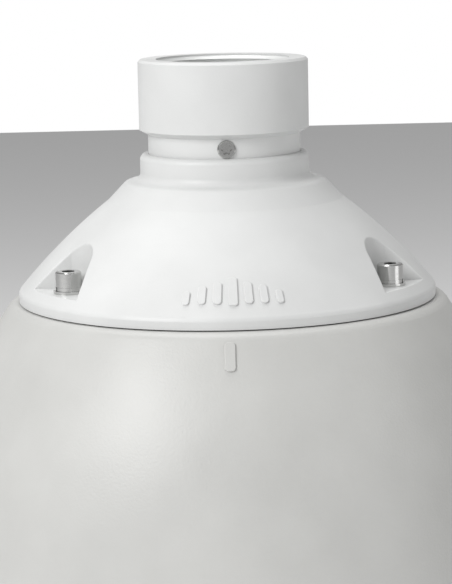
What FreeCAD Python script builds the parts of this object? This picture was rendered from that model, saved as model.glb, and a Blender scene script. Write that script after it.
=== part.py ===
"""Hanging outdoor pan, tilt and zoom camera, as a parametric document.

Millimetres, +Z up.  The origin is the centre of the pipe adapter's mouth, and the
camera hangs below it.  The front, which the heading marks face, is -Y.
"""
import FreeCAD, Part
import math
import os

import Sketcher
from FreeCAD import Placement, Rotation, Vector

document = FreeCAD.newDocument("pan_tilt_zoom_camera")

# ------------------------------------------------------------------ driving sizes
SIZES = {
    # pipe adapter, its thread and its lock screws
    "pipe_thread_radius": 22.42, "pipe_thread_length": 20.0,
    "adapter_radius": 28.5, "adapter_head": 23.4, "adapter_chamfer": 1.6,
    "neck_radius": 25.6, "neck_depth": 3.2, "edge_break": 0.8,
    "lock_rise": 3.1, "lock_radius": 3.0, "lock_proud": 0.8, "lock_count": 3,
    "lock_fit": 0.05, "lock_mouth": 0.35, "recess_radius": 1.35, "recess_depth": 2.2,
    # cap casting
    "seam_drop": 80.0, "cap_wall": 3.5, "rim_radius": 70.5, "rim_band": 2.6,
    "spigot_radius": 21.6, "spigot_bore": 17.5, "spigot_gap": 0.2, "spigot_rise": 6.5,
    "collar_radius": 28.5, "collar_top": 48.6, "collar_foot": 41.6, "collar_round": 2.0,
    "foot_round": 2.4, "shoulder_round": 2.6, "soft_edge": 0.4, "scallop_edge": 0.6,
    "neck_gap": 0.15, "seal_section": 0.9, "press_gap": 0.02,
    "shoulder_radius": 33.6, "shoulder_height": 39.2,
    "cone_radius": 39.5, "cone_height": 33.0, "cone_foot_radius": 69.6,
    "cone_foot_height": 4.2, "cone_bulge": 1.1, "roof_height": 36.0,
    # scalloped pockets for the three cap screws
    "screw_circle": 60.6, "screw_count": 3, "pocket_floor": 6.5, "pocket_tip": 52.7,
    "pocket_shoulder": 55.6, "pocket_half_width": 7.1, "pocket_flare": 0.76,
    "boss_wall": 1.25, "boss_gap": 0.4,
    "screw_radius": 2.5, "screw_clearance": 0.25, "head_radius": 4.25, "head_height": 5.0,
    "hex_half": 2.0, "hex_depth": 2.6, "washer_radius": 5.0, "washer_thickness": 1.0,
    "spring_washer_radius": 4.4, "spring_washer_thickness": 1.2,
    # heading ribs of the cap and the mark of the housing
    "rib_pitch_angle": 4.3, "rib_rise": 0.6, "rib_root": 1.2, "rib_round": 0.25,
    # turning joint between cap and housing
    "seam_gap": 0.4, "flange_thickness": 4.0, "clamp_gap": 0.3,
    "clamp_bore": 54.0, "clamp_radius": 67.5, "clamp_thickness": 4.0,
    "gasket_inner": 66.8, "gasket_outer": 69.6,
    # housing shell
    "ledge_radius": 71.6, "ledge_bulge": 0.35, "brow_radius": 74.6, "brow_drop": 2.4,
    "housing_radius": 101.5, "belly_drop": 87.0, "belly_bulge": 6.3, "skirt_drop": 110.0,
    "shell_wall": 3.0,
    "plate_boss_circle": 71.8, "plate_boss_radius": 4.0, "plate_boss_count": 3,
    "plate_boss_azimuth": 30.0,
    # clear dome and the ring that holds it
    "ring_height": 8.0, "ring_round": 2.5, "dome_radius": 78.0, "dome_wall": 2.5,
    "dome_lip": 8.0, "dome_flange_thickness": 2.5, "dome_clearance": 1.5, "dome_gap": 0.4,
    "dome_seal_height": 1.0, "dome_screw_edge": 8.5, "dome_centre_drop": 7.0, "dome_screw_count": 6,
    "dome_screw_radius": 2.0, "dome_screw_head": 3.8, "dome_screw_sink": 2.8,
    # base plate and its boards
    "plate_drop": 22.0, "plate_thickness": 2.0, "plate_radius": 79.0,
    "plate_screw_radius": 1.9, "plate_screw_head": 3.4,
    "board_lift": 4.4, "board_thickness": 1.6, "board_left": 28.0, "board_right": 44.0,
    "board_half_depth": 34.0, "board_inset": 4.0, "spacer_radius": 3.0,
    "fan_offset": 50.0, "fan_side": 40.0, "fan_depth": 10.0, "fan_bore": 18.5,
    "fan_floor": 1.5, "fan_blade": 17.8, "fan_hub": 8.0, "fan_blade_count": 7,
    "button_radius": 1.75, "button_x": 36.0, "button_y": 26.0, "button_travel": 0.5,
    # pan bearing, slip ring and pan drive
    "bearing_outer": 24.0, "bearing_inner": 14.0, "bearing_drop": 5.0,
    "bearing_height": 8.0, "ball_circle": 19.0, "ball_radius": 2.4, "ball_count": 16,
    "race_land": 1.8, "running_fit": 0.05, "sleeve_wall": 3.5, "sleeve_tail": 1.0,
    "slip_radius": 11.0, "slip_rotor_radius": 8.0, "slip_fit": 0.3, "slip_length": 26.0,
    "gear_module": 1.0, "pan_teeth": 72, "pinion_teeth": 18, "backlash": 0.12,
    "hub_length": 10.0, "gear_thickness": 5.0, "pan_motor_radius": 16.0,
    "pan_motor_height": 18.0,
    # yoke, tilt drive and inner shroud
    "yoke_thickness": 3.0, "motor_room": 3.0, "yoke_half_depth": 14.0,
    "yoke_tail": 12.0, "bushing_radius": 6.0, "trunnion_radius": 4.0,
    "tilt_motor_rise": 37.0, "tilt_motor_radius": 13.0, "tilt_motor_length": 18.0,
    "drive_pulley_radius": 6.0, "tilt_pulley_radius": 18.0, "belt_width": 4.0,
    "belt_thickness": 1.2, "belt_gap": 0.3, "pulley_gap": 1.0, "pulley_flange": 0.8,
    "shroud_gap": 2.0, "shroud_wall": 1.3, "shroud_lip": 1.5, "shroud_rise": 47.0, "shroud_slot": 30.0,
    "slot_end": 24.0,
    "shroud_ledge_gap": 4.0, "ear_length": 10.0, "ear_thickness": 2.0,
    # zoom camera block, about the tilt axis with the lens towards -Y
    "tilt_rest": 30.0, "case_half_width": 34.0, "case_half_height": 27.0,
    "case_front": 38.0, "case_back": 38.0, "case_wall": 2.0, "case_round": 4.0,
    "cradle_thickness": 2.0, "cradle_half_depth": 18.0,
    "lens_radius": 22.0, "lens_bore": 19.5, "lens_nose": 50.0, "lens_cap": 3.0,
    "lens_crown": 2.4, "lens_edge": 6.0,
    "bulkhead_front": 20.0, "bulkhead_back": 20.0, "rod_radius": 1.5, "rod_x": 20.0,
    "rod_z": 18.0, "lead_radius": 2.0, "lead_x": 21.0, "lead_z": 17.0,
    "lens_motor_radius": 5.0, "lens_motor_length": 7.5,
    "group_radius": 16.0, "zoom_place": 11.0, "zoom_thickness": 6.0,
    "focus_place": 14.0, "focus_thickness": 4.0,
}


class Size:
    """A number together with the expression over the sheet that gives it."""

    def __init__(self, value, text):
        self.value = value
        self.text = text

    @staticmethod
    def of(number):
        return number if isinstance(number, Size) else Size(float(number), repr(float(number)))

    def _join(self, other, sign, value):
        return Size(value, f"({self.text} {sign} {other.text})")

    def __add__(self, other):
        other = Size.of(other)
        return self._join(other, "+", self.value + other.value)

    def __sub__(self, other):
        other = Size.of(other)
        return self._join(other, "-", self.value - other.value)

    def __mul__(self, other):
        other = Size.of(other)
        return self._join(other, "*", self.value * other.value)

    def __truediv__(self, other):
        other = Size.of(other)
        return self._join(other, "/", self.value / other.value)

    def __neg__(self):
        return Size(-self.value, f"(0 - {self.text})")

    def __radd__(self, other):
        return Size.of(other) + self

    def __rsub__(self, other):
        return Size.of(other) - self

    def __rmul__(self, other):
        return Size.of(other) * self

    def __rtruediv__(self, other):
        return Size.of(other) / self

    def __float__(self):
        return float(self.value)


def root(size):
    return Size(math.sqrt(size.value), f"sqrt({size.text})")


def cosine(angle):
    angle = Size.of(angle)
    return Size(math.cos(math.radians(angle.value)), f"cos({angle.text})")


def sine(angle):
    angle = Size.of(angle)
    return Size(math.sin(math.radians(angle.value)), f"sin({angle.text})")


class Sheet:
    """The spreadsheet of driving sizes; each alias reads back as a Size."""

    def __init__(self):
        cells = document.addObject("Spreadsheet::Sheet", "sizes")
        for row, (name, value) in enumerate(SIZES.items(), 1):
            cells.set(f"A{row}", name)
            cells.set(f"B{row}", str(value))
            cells.setAlias(f"B{row}", name)
        document.recompute()

    def __getattr__(self, name):
        return Size(SIZES[name], f"sizes.{name}")


s = Sheet()
parts = {}


# ------------------------------------------------------------------ building helpers
def bind(thing, **values):
    """Bind properties, written with __ for each dot, to expressions over the sheet."""
    for name, value in values.items():
        thing.setExpression(name.replace("__", "."), Size.of(value).text)


def keep(label, thing):
    """Take an object as the finished sub-part of that name."""
    thing.Label = label
    parts[label] = thing
    return thing


def new_body(name):
    return document.addObject("PartDesign::Body", name)


def plane_of(body, role):
    return next(plane for plane in body.Origin.OriginFeatures if plane.Role == role)


def draw_circle(drawing, x, y, radius):
    centre = Vector(float(x), float(y), 0)
    edge = drawing.addGeometry(Part.Circle(centre, Vector(0, 0, 1), float(radius)), False)
    hold(drawing, "DistanceX", (-1, 1, edge, 3), x)
    hold(drawing, "DistanceY", (-1, 1, edge, 3), y)
    hold(drawing, "Radius", (edge,), radius)


def hold(drawing, kind, where, value):
    """Add a dimension to a sketch and bind it to its expression."""
    value = Size.of(value)
    index = drawing.addConstraint(Sketcher.Constraint(kind, *where, value.value))
    drawing.setExpression(f"Constraints[{index}]", value.text)


def arc_radius(start, end, bulge):
    across = Size.of(end[0]) - start[0]
    along = Size.of(end[1]) - start[1]
    bulge = Size.of(bulge)
    return (across * across + along * along) / (8 * bulge) + bulge / 2


def draw_outline(drawing, points):
    """Draw a closed outline, listed clockwise.  A third value on a point bulges the edge
    that starts there outwards by that much, or inwards if it is negative."""
    ends = []
    for index, start in enumerate(points):
        end = points[(index + 1) % len(points)]
        p = Vector(float(start[0]), float(start[1]), 0)
        q = Vector(float(end[0]), float(end[1]), 0)
        if len(start) < 3:
            edge = drawing.addGeometry(Part.LineSegment(p, q), False)
            ends.append((edge, 1, 2))
            continue
        outwards = float(start[2]) > 0
        bulge = Size.of(start[2]) if outwards else -Size.of(start[2])
        radius = arc_radius(start, end, bulge)
        chord = q - p
        left = Vector(-chord.y, chord.x, 0).normalize() * (1 if outwards else -1)
        centre = (p + q) / 2 - left * (radius.value - bulge.value)
        first, last = (q, p) if outwards else (p, q)
        low = math.atan2(first.y - centre.y, first.x - centre.x)
        high = math.atan2(last.y - centre.y, last.x - centre.x)
        circle = Part.Circle(centre, Vector(0, 0, 1), radius.value)
        edge = drawing.addGeometry(Part.ArcOfCircle(circle, low, high), False)
        ends.append((edge, 2, 1) if outwards else (edge, 1, 2))
        hold(drawing, "Radius", (edge,), radius)
    for index, (edge, first, last) in enumerate(ends):
        follower, next_first, _ = ends[(index + 1) % len(ends)]
        drawing.addConstraint(
            Sketcher.Constraint("Coincident", edge, last, follower, next_first))
    for (edge, first, _), point in zip(ends, points):
        hold(drawing, "DistanceX", (-1, 1, edge, first), point[0])
        hold(drawing, "DistanceY", (-1, 1, edge, first), point[1])


def sketch(body, name, role, loops, lift=0, azimuth=None):
    """A sketch on one of the body's origin planes.  A loop is an outline, or a circle as
    a tuple of three.  An upright sketch can be swung to an azimuth about the Z axis."""
    drawing = body.newObject("Sketcher::SketchObject", name)
    drawing.AttachmentSupport = [(plane_of(body, role), "")]
    drawing.MapMode = "FlatFace"
    if azimuth is not None:
        drawing.AttachmentOffset = Placement(Vector(), Rotation(Vector(0, 1, 0), 0.001))
        bind(drawing, AttachmentOffset__Rotation__Angle=azimuth)
    bind(drawing, AttachmentOffset__Base__z=lift)
    for loop in loops:
        if isinstance(loop, tuple):
            draw_circle(drawing, *loop)
        else:
            draw_outline(drawing, loop)
    return drawing


def revolve(body, name, loops, axis="V_Axis", role="XZ_Plane", kind="Revolution"):
    """Turn outlines about the Z axis, or about Y when drawn on the YZ plane."""
    drawing = sketch(body, name + "_outline", role, loops)
    feature = body.newObject("PartDesign::" + kind, name)
    feature.Profile = drawing
    feature.ReferenceAxis = (drawing, [axis])
    feature.Angle = 360
    body.Tip = feature
    return feature


def pad(body, name, loops, start, length, role="XY_Plane", down=False, middle=False):
    drawing = sketch(body, name + "_outline", role, loops, lift=start)
    feature = body.newObject("PartDesign::Pad", name)
    feature.Profile = drawing
    bind(feature, Length=length)
    feature.Reversed = down
    if middle:
        feature.SideType = "Symmetric"
    body.Tip = feature
    return feature


def pocket(body, name, loops, start, length, role="XY_Plane", flip=False, middle=False):
    """Cut outlines out of the body, and make sure that something was cut."""
    document.recompute()
    before = body.Tip.Shape.Volume
    drawing = sketch(body, name + "_outline", role, loops, lift=start)
    feature = body.newObject("PartDesign::Pocket", name)
    feature.Profile = drawing
    bind(feature, Length=length)
    feature.Reversed = flip
    if middle:
        feature.SideType = "Symmetric"
    body.Tip = feature
    document.recompute()
    if not feature.Shape.Volume < before - 1e-6:
        raise RuntimeError(f"{name} cut nothing out of {body.Name}")
    return feature


def soften(body, name, radius, chosen):
    """Fillet every edge of the body's last feature that the test chooses."""
    document.recompute()
    last = body.Tip
    edges = [f"Edge{index}" for index, edge in enumerate(last.Shape.Edges, 1) if chosen(edge)]
    if not edges:
        raise RuntimeError(f"{name} found no edge on {body.Name}")
    feature = body.newObject("PartDesign::Fillet", name)
    feature.Base = (last, edges)
    bind(feature, Radius=radius)
    body.Tip = feature
    return feature


def circle_at(edge, radius, z):
    """Whether an edge is a circle about the Z axis with that radius and height."""
    if edge.Curve.TypeId != "Part::GeomCircle":
        return False
    centre = edge.Curve.Center
    return (math.hypot(centre.x, centre.y) < 1e-3 and abs(centre.z - float(z)) < 1e-3
            and abs(edge.Curve.Radius - float(radius)) < 1e-3)


def around(body, name, feature, count):
    """Repeat a feature evenly about the Z axis."""
    document.recompute()
    pattern = body.newObject("PartDesign::PolarPattern", name)
    pattern.Originals = [feature]
    pattern.Axis = (plane_line(body), [""])
    pattern.Angle = 360
    bind(pattern, Occurrences=count)
    body.Tip = pattern
    return pattern


def plane_line(body):
    return next(line for line in body.Origin.OriginFeatures if line.Role == "Z_Axis")


def turned(name, *loops, axis="V_Axis", role="XZ_Plane"):
    body = new_body(name)
    revolve(body, name + "_turning", loops, axis, role)
    return body


def turned_along_y(name, *loops):
    """A turned piece about the Y axis; its outline is listed as (y, radius)."""
    return turned(name, *loops, axis="H_Axis", role="YZ_Plane")


def ring(name, inner, outer, top, height):
    return turned(name, [(inner, top), (outer, top), (outer, top - height),
                         (inner, top - height)])


def place(thing, x=0, y=0, z=0, angle=None, axis=None):
    if angle is not None:
        thing.Placement = Placement(Vector(), Rotation(axis or Vector(0, 0, 1), 0.001))
        bind(thing, Placement__Rotation__Angle=angle)
    bind(thing, Placement__Base__x=x, Placement__Base__y=y, Placement__Base__z=z)
    return thing


def block(name, low, size):
    """A box from its low corner and its size."""
    thing = document.addObject("Part::Box", name)
    bind(thing, Length=size[0], Width=size[1], Height=size[2])
    return place(thing, *low)


def rod(name, foot, radius, length, along="Z"):
    """A round bar that starts at its foot and runs along +X, +Y or +Z."""
    thing = document.addObject("Part::Cylinder", name)
    bind(thing, Radius=radius, Height=length)
    turn = {"Z": Rotation(), "X": Rotation(Vector(0, 1, 0), 90),
            "Y": Rotation(Vector(1, 0, 0), -90)}[along]
    thing.Placement = Placement(Vector(), turn)
    return place(thing, *foot)


def joined(name, pieces):
    thing = document.addObject("Part::MultiFuse", name)
    thing.Shapes = pieces
    thing.Refine = True
    return thing


def less(name, base, tools):
    thing = document.addObject("Part::Cut", name)
    thing.Base = base
    thing.Tool = tools[0] if len(tools) == 1 else joined(name + "_tools", tools)
    thing.Refine = True
    return thing


def group(name, pieces):
    """Separate solids that share one node."""
    thing = document.addObject("Part::Compound", name)
    thing.Links = pieces
    return thing


def copy_of(master, name, **where):
    link = document.addObject("App::Link", name)
    link.LinkedObject = master
    return place(link, **where)


def circle_of(name, master, count, radius=0, z=0, first=0):
    """Copies of one piece, spaced evenly about the Z axis and turned to face it."""
    pieces = []
    for index in range(int(count.value)):
        angle = first + index * 360 / count
        pieces.append(copy_of(master, f"{name}_{index + 1}", x=radius * cosine(angle),
                              y=radius * sine(angle), z=z, angle=angle))
    return group(name, pieces)


def rounded(width, height, corner):
    """Clockwise outline of a rectangle with round corners, about its middle."""
    x, y = width / 2, height / 2
    bulge = corner * (1 - math.sqrt(0.5))
    return [(-x, y - corner, bulge), (-x + corner, y), (x - corner, y, bulge),
            (x, y - corner), (x, corner - y, bulge), (x - corner, -y),
            (corner - x, -y, bulge), (-x, corner - y)]


class Curve:
    """The arc of an outline in a turned casting, from its upper to its lower end."""

    def __init__(self, upper, lower, bulge):
        self.upper, self.lower = upper, lower
        self.radius = arc_radius(upper, lower, bulge)
        across, along = lower[0] - upper[0], lower[1] - upper[1]
        chord = root(across * across + along * along)
        reach = (self.radius - bulge) / chord
        self.x = (upper[0] + lower[0]) / 2 + along * reach
        self.z = (upper[1] + lower[1]) / 2 - across * reach

    def at(self, z, inset=0):
        """The radius of the surface at a height, offset inwards."""
        reach = self.radius - inset
        return root(reach * reach - (z - self.z) * (z - self.z)) + self.x

    def bulge(self, first, last, inset):
        """How far the offset arc stands out from the chord between two of its points."""
        reach = self.radius - inset
        across, along = last[0] - first[0], last[1] - first[1]
        return reach - root(reach * reach - (across * across + along * along) / 4)


def hexagon(half_width):
    """Clockwise outline of a hexagon from half its width across flats."""
    reach = half_width / cosine(30)
    return [(reach * cosine(-60 * corner), reach * sine(-60 * corner)) for corner in range(6)]


# ------------------------------------------------------------------ shared levels
seam = -s.seam_drop
collar_top = seam + s.collar_top
neck_end = collar_top - s.neck_depth
lock_level = collar_top + s.lock_rise
spigot_top = lock_level + s.spigot_rise
cap_curve = Curve((s.cone_radius, s.cone_height + seam),
                  (s.cone_foot_radius, s.cone_foot_height + seam), s.cone_bulge)
belly = Curve((s.brow_radius, seam - s.brow_drop), (s.housing_radius, seam - s.belly_drop),
              s.belly_bulge)
floor_of_pocket = seam + s.pocket_floor
screw_hole = s.screw_radius + s.screw_clearance
boss_radius = screw_hole + s.boss_wall
flange_bore = s.screw_circle + boss_radius + s.boss_gap
flange_top = seam - s.seam_gap
flange_under = flange_top - s.flange_thickness
clamp_top = flange_under - s.clamp_gap
skirt = seam - s.skirt_drop
dome_bore = s.dome_radius + s.dome_clearance
dome_flange = s.dome_radius + s.dome_lip
dome_screw_circle = s.housing_radius - s.dome_screw_edge
plate_top = seam - s.plate_drop
plate_under = plate_top - s.plate_thickness
board_under = plate_top + s.board_lift
board_top = board_under + s.board_thickness
bearing_top = plate_top - s.bearing_drop
bearing_low = bearing_top - s.bearing_height
slip_end = plate_top - s.slip_length
gear_top = bearing_low - s.hub_length
gear_under = gear_top - s.gear_thickness
yoke_top = gear_under
yoke_under = yoke_top - s.yoke_thickness
tilt_axis = skirt - s.dome_centre_drop
motor_level = tilt_axis + s.tilt_motor_rise
yoke_inside = (s.case_half_width + s.cradle_thickness + s.motor_room
               + s.tilt_motor_length)
yoke_outside = yoke_inside + s.yoke_thickness
shroud_radius = s.dome_radius - s.dome_wall - s.shroud_gap
shroud_top = tilt_axis + s.shroud_rise


# ------------------------------------------------------------------ adapter and collar
def pipe_adapter():
    """Threaded head, chamfer and neck, with three threaded holes through the neck."""
    body = new_body("pipe_adapter")
    bore = s.spigot_radius + s.spigot_gap
    revolve(body, "adapter_turning", [[
        (s.pipe_thread_radius, 0), (s.adapter_radius - s.edge_break, 0),
        (s.adapter_radius, -s.edge_break), (s.adapter_radius, -s.adapter_head),
        (s.neck_radius, -s.adapter_head - s.adapter_chamfer), (s.neck_radius, neck_end),
        (bore, neck_end), (bore, -s.pipe_thread_length),
        (s.pipe_thread_radius, -s.pipe_thread_length)]])
    hole = pocket(body, "lock_hole", [(0, lock_level, s.lock_radius)], 0,
                  s.adapter_radius, role="XZ_Plane", flip=True)
    around(body, "lock_holes", hole, s.lock_count)
    keep("pipe_adapter", body)


def lock_screws():
    """Headless set screws with a six-lobed recess, a little proud of the neck."""
    outer, inner = s.neck_radius + s.lock_proud, s.spigot_radius + s.lock_fit
    shank = s.lock_radius - s.lock_fit
    master = turned_along_y("lock_screw", [
        (-outer, 0), (-outer, shank - s.lock_mouth), (s.lock_mouth - outer, shank),
        (-inner - s.lock_mouth, shank), (-inner, shank - s.lock_mouth), (-inner, 0)])
    loops = [(0, 0, s.recess_radius)]
    pocket(master, "recess_core", loops, outer, s.recess_depth, role="XZ_Plane")
    for lobe in range(6):
        centre = (s.recess_radius * cosine(60 * lobe), s.recess_radius * sine(60 * lobe),
                  s.recess_radius / 3)
        pocket(master, f"recess_lobe_{lobe + 1}", [centre], outer, s.recess_depth,
               role="XZ_Plane")
    keep("lock_screws", circle_of("lock_screws", master, s.lock_count, z=lock_level))


def neck_seal():
    """O-ring between the neck's end and the floor of the collar's counterbore."""
    thing = document.addObject("Part::Torus", "neck_seal")
    middle = (s.spigot_radius + s.neck_radius + s.neck_gap) / 2
    bind(thing, Radius1=middle, Radius2=s.seal_section - s.press_gap)
    keep("neck_seal", place(thing, z=neck_end - s.seal_section))


# ------------------------------------------------------------------ cap casting
def cap_shoulder():
    """The outer outline of the cap below its collar, from the top down to the seam."""
    return [(s.collar_radius, seam + s.collar_foot - 1.4),
            (s.shoulder_radius, seam + s.shoulder_height),
            (s.cone_radius, seam + s.cone_height, s.cone_bulge),
            (s.cone_foot_radius, seam + s.cone_foot_height, 0.15),
            (s.rim_radius, seam + s.rim_band), (s.rim_radius, seam)]


def cap_outline():
    counterbore = neck_end - 2 * s.seal_section
    mouth = s.neck_radius + s.neck_gap
    top = collar_top
    inner_low = (cap_curve.at(seam + s.rim_band, s.cap_wall), seam + s.rim_band)
    inner_high = (cap_curve.at(seam + s.cone_height - s.cap_wall, s.cap_wall),
                  seam + s.cone_height - s.cap_wall)
    bulge = cap_curve.bulge(inner_low, inner_high, s.cap_wall)
    round_bulge = s.collar_round * (1 - math.sqrt(0.5))
    roof = seam + s.roof_height
    return [(s.spigot_bore, spigot_top), (s.spigot_radius, spigot_top),
            (s.spigot_radius, counterbore), (mouth, counterbore), (mouth, top),
            (s.collar_radius - s.collar_round, top, round_bulge),
            (s.collar_radius, top - s.collar_round), *cap_shoulder(),
            (inner_low[0], seam), (*inner_low, -bulge), inner_high,
            (s.shoulder_radius - s.cap_wall / 2, roof), (s.spigot_bore, roof)]


def pocket_outline(wall, reach):
    """The flared scallop, its tip towards the axis, grown by a wall on every side."""
    shoulder = s.pocket_shoulder - wall / 2
    half = s.pocket_half_width + wall
    wide = half + (reach - shoulder) * s.pocket_flare
    return [(shoulder, -half, shoulder - (s.pocket_tip - wall)), (shoulder, half),
            (reach, wide), (reach, -wide)]


def rib(name, curve, middle, width, length, corner):
    """A raised bar that lies on a turned casting, drawn at azimuth 0."""
    body = new_body(name)
    drawing = sketch(body, name + "_outline", "XY_Plane", [rounded(length, width, corner)])
    radius = curve.at(middle)
    slope = Size(math.degrees(math.atan2(radius.value - curve.x.value,
                                         middle.value - curve.z.value)),
                 f"atan2({(radius - curve.x).text}; {(middle - curve.z).text})")
    drawing.AttachmentOffset = Placement(Vector(), Rotation(Vector(0, 1, 0), 0.001))
    bind(drawing, AttachmentOffset__Rotation__Angle=slope,
         AttachmentOffset__Base__x=radius - s.rib_root * sine(slope),
         AttachmentOffset__Base__z=middle - s.rib_root * cosine(slope))
    bar = body.newObject("PartDesign::Pad", name + "_pad")
    bar.Profile = drawing
    bind(bar, Length=s.rib_root + s.rib_rise)
    body.Tip = bar
    document.recompute()
    edge = body.newObject("PartDesign::Fillet", name + "_edge")
    top = max(range(len(bar.Shape.Faces)), key=lambda face: bar.Shape.Faces[face]
              .CenterOfMass.dot(Vector(math.sin(math.radians(slope.value)), 0,
                                       math.cos(math.radians(slope.value)))))
    edge.Base = (bar, [f"Face{top + 1}"])
    bind(edge, Radius=s.rib_round)
    body.Tip = edge
    return body


RIBS = (  # width, length, corner and middle height above the seam, from the middle outwards
    (3.0, 10.6, 1.0, 10.9), (2.7, 8.3, 1.25, 10.5), (2.5, 6.9, 1.15, 10.0),
    (2.2, 5.1, 1.0, 9.1))


def on_scallop_lip(edge):
    """Whether an edge is where a scallop's upright wall leaves the cone."""
    middle = edge.valueAt((edge.FirstParameter + edge.LastParameter) / 2)
    direction = edge.tangentAt((edge.FirstParameter + edge.LastParameter) / 2)
    radius = math.hypot(middle.x, middle.y)
    on_cone = abs(radius - cap_curve.at(middle.z).value) < 0.02
    azimuth = math.degrees(math.atan2(middle.y, middle.x))
    level = abs(direction.z) < 1e-4 and edge.Curve.TypeId == "Part::GeomCircle"
    inside = float(floor_of_pocket) + 0.3 < middle.z < float(seam + s.cone_height)
    steep = abs(direction.z) > 0.999
    return on_cone and inside and not level and not steep and abs(azimuth) != 0.0


def top_cap():
    body = new_body("cap_casting")
    revolve(body, "cap_turning", [cap_outline()])
    reach = s.rim_radius + s.cap_wall
    block_pad = pad(body, "pocket_block", [pocket_outline(s.cap_wall, reach)],
                    floor_of_pocket - s.cap_wall, s.roof_height - 2 * s.cap_wall)
    around(body, "pocket_blocks", block_pad, s.screw_count)
    outside = [*cap_shoulder()[2:], (s.rim_radius * 2, seam),
               (s.rim_radius * 2, seam + s.cone_height)]
    revolve(body, "outside_trim", [list(reversed_outline(outside))], kind="Groove")
    scallop = pocket(body, "scallop", [pocket_outline(0, reach + s.cap_wall)],
                     seam + s.roof_height, s.roof_height - s.pocket_floor)
    around(body, "scallops", scallop, s.screw_count)
    soften(body, "collar_fillet", s.foot_round, lambda edge: circle_at(
        edge, s.collar_radius, seam + s.collar_foot - 1.4))
    soften(body, "shoulder_fillet", s.shoulder_round, lambda edge: circle_at(
        edge, s.shoulder_radius, seam + s.shoulder_height))
    soften(body, "scallop_fillet", s.scallop_edge, on_scallop_lip)
    boss = pad(body, "screw_boss", [(s.screw_circle, 0, boss_radius)], clamp_top,
               floor_of_pocket - s.cap_wall / 2 - clamp_top)
    around(body, "screw_bosses", boss, s.screw_count)
    hole = pocket(body, "screw_hole", [(s.screw_circle, 0, screw_hole)],
                  floor_of_pocket + s.cap_wall, 2 * s.cap_wall + s.roof_height)
    around(body, "screw_holes", hole, s.screw_count)
    document.recompute()
    turned_cap = copy_of(body, "cap_at_heading", angle=90)
    pieces = [turned_cap]
    for order, (width, length, corner, height) in enumerate(RIBS):
        bar = rib(f"cap_rib_{order}", cap_curve, seam + height, Size.of(width),
                  Size.of(length), Size.of(corner))
        for side in ((1, -1) if order else (1,)):
            angle = -90 + side * order * s.rib_pitch_angle
            pieces.append(copy_of(bar, f"cap_rib_{order}_{side + 1}", angle=angle))
    keep("top_cap", joined("top_cap", pieces))


def reversed_outline(points):
    """The same outline run the other way round, so that it lists clockwise."""
    backwards = points[::-1]
    for index, point in enumerate(backwards):
        follower = backwards[(index + 1) % len(backwards)]
        yield (*point[:2], -follower[2]) if len(follower) > 2 else point[:2]


def cap_fasteners():
    """Cap screws with their spring and flat washers, standing on the pocket floors."""
    flat = ring("cap_flat_washer", screw_hole, s.washer_radius, s.washer_thickness,
                s.washer_thickness)
    spring_top = s.washer_thickness + s.spring_washer_thickness
    spring = ring("cap_spring_washer", screw_hole, s.spring_washer_radius, spring_top,
                  s.spring_washer_thickness)
    pocket(spring, "split", [[(s.screw_radius, 0.3), (s.washer_radius, 0.3),
                              (s.washer_radius, -0.3), (s.screw_radius, -0.3)]],
           spring_top, s.spring_washer_thickness)
    end = clamp_top - s.clamp_thickness - floor_of_pocket
    head = spring_top + s.head_height
    soft = s.edge_break / 2
    screw = turned("cap_screw", [(0, head), (s.head_radius - soft, head),
                                 (s.head_radius, head - soft), (s.head_radius, spring_top),
                                 (s.screw_radius - s.lock_fit, spring_top),
                                 (s.screw_radius - s.lock_fit, end), (0, end)])
    pocket(screw, "hex_socket", [hexagon(s.hex_half)], head, s.hex_depth)
    for label, master in (("cap_flat_washers", flat), ("cap_spring_washers", spring),
                          ("cap_screws", screw)):
        keep(label, circle_of(label, master, s.screw_count, s.screw_circle,
                              floor_of_pocket, first=Size.of(90)))


def cap_small_parts():
    """Grommet in the spigot, gasket in the seam and the ring that clamps the housing."""
    roof = seam + s.roof_height
    lip = s.spigot_bore + 2.5
    keep("cable_grommet", turned("cable_grommet", [
        (11, roof + 5), (s.spigot_bore - s.lock_fit, roof + 5),
        (s.spigot_bore - s.lock_fit, roof), (lip, roof), (lip, roof - 2), (11, roof - 2)]))
    keep("cap_gasket", ring("cap_gasket", s.gasket_inner, s.gasket_outer, seam, s.seam_gap))
    clamp = ring("clamp_ring", s.clamp_bore, s.clamp_radius, clamp_top, s.clamp_thickness)
    hole = pocket(clamp, "clamp_thread", [(0, s.screw_circle, s.screw_radius)], clamp_top,
                  s.clamp_thickness)
    around(clamp, "clamp_threads", hole, s.screw_count)
    keep("clamp_ring", clamp)


# ------------------------------------------------------------------ housing and dome
def plate_boss_place():
    return (s.plate_boss_circle * cosine(s.plate_boss_azimuth),
            s.plate_boss_circle * sine(s.plate_boss_azimuth))


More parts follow.
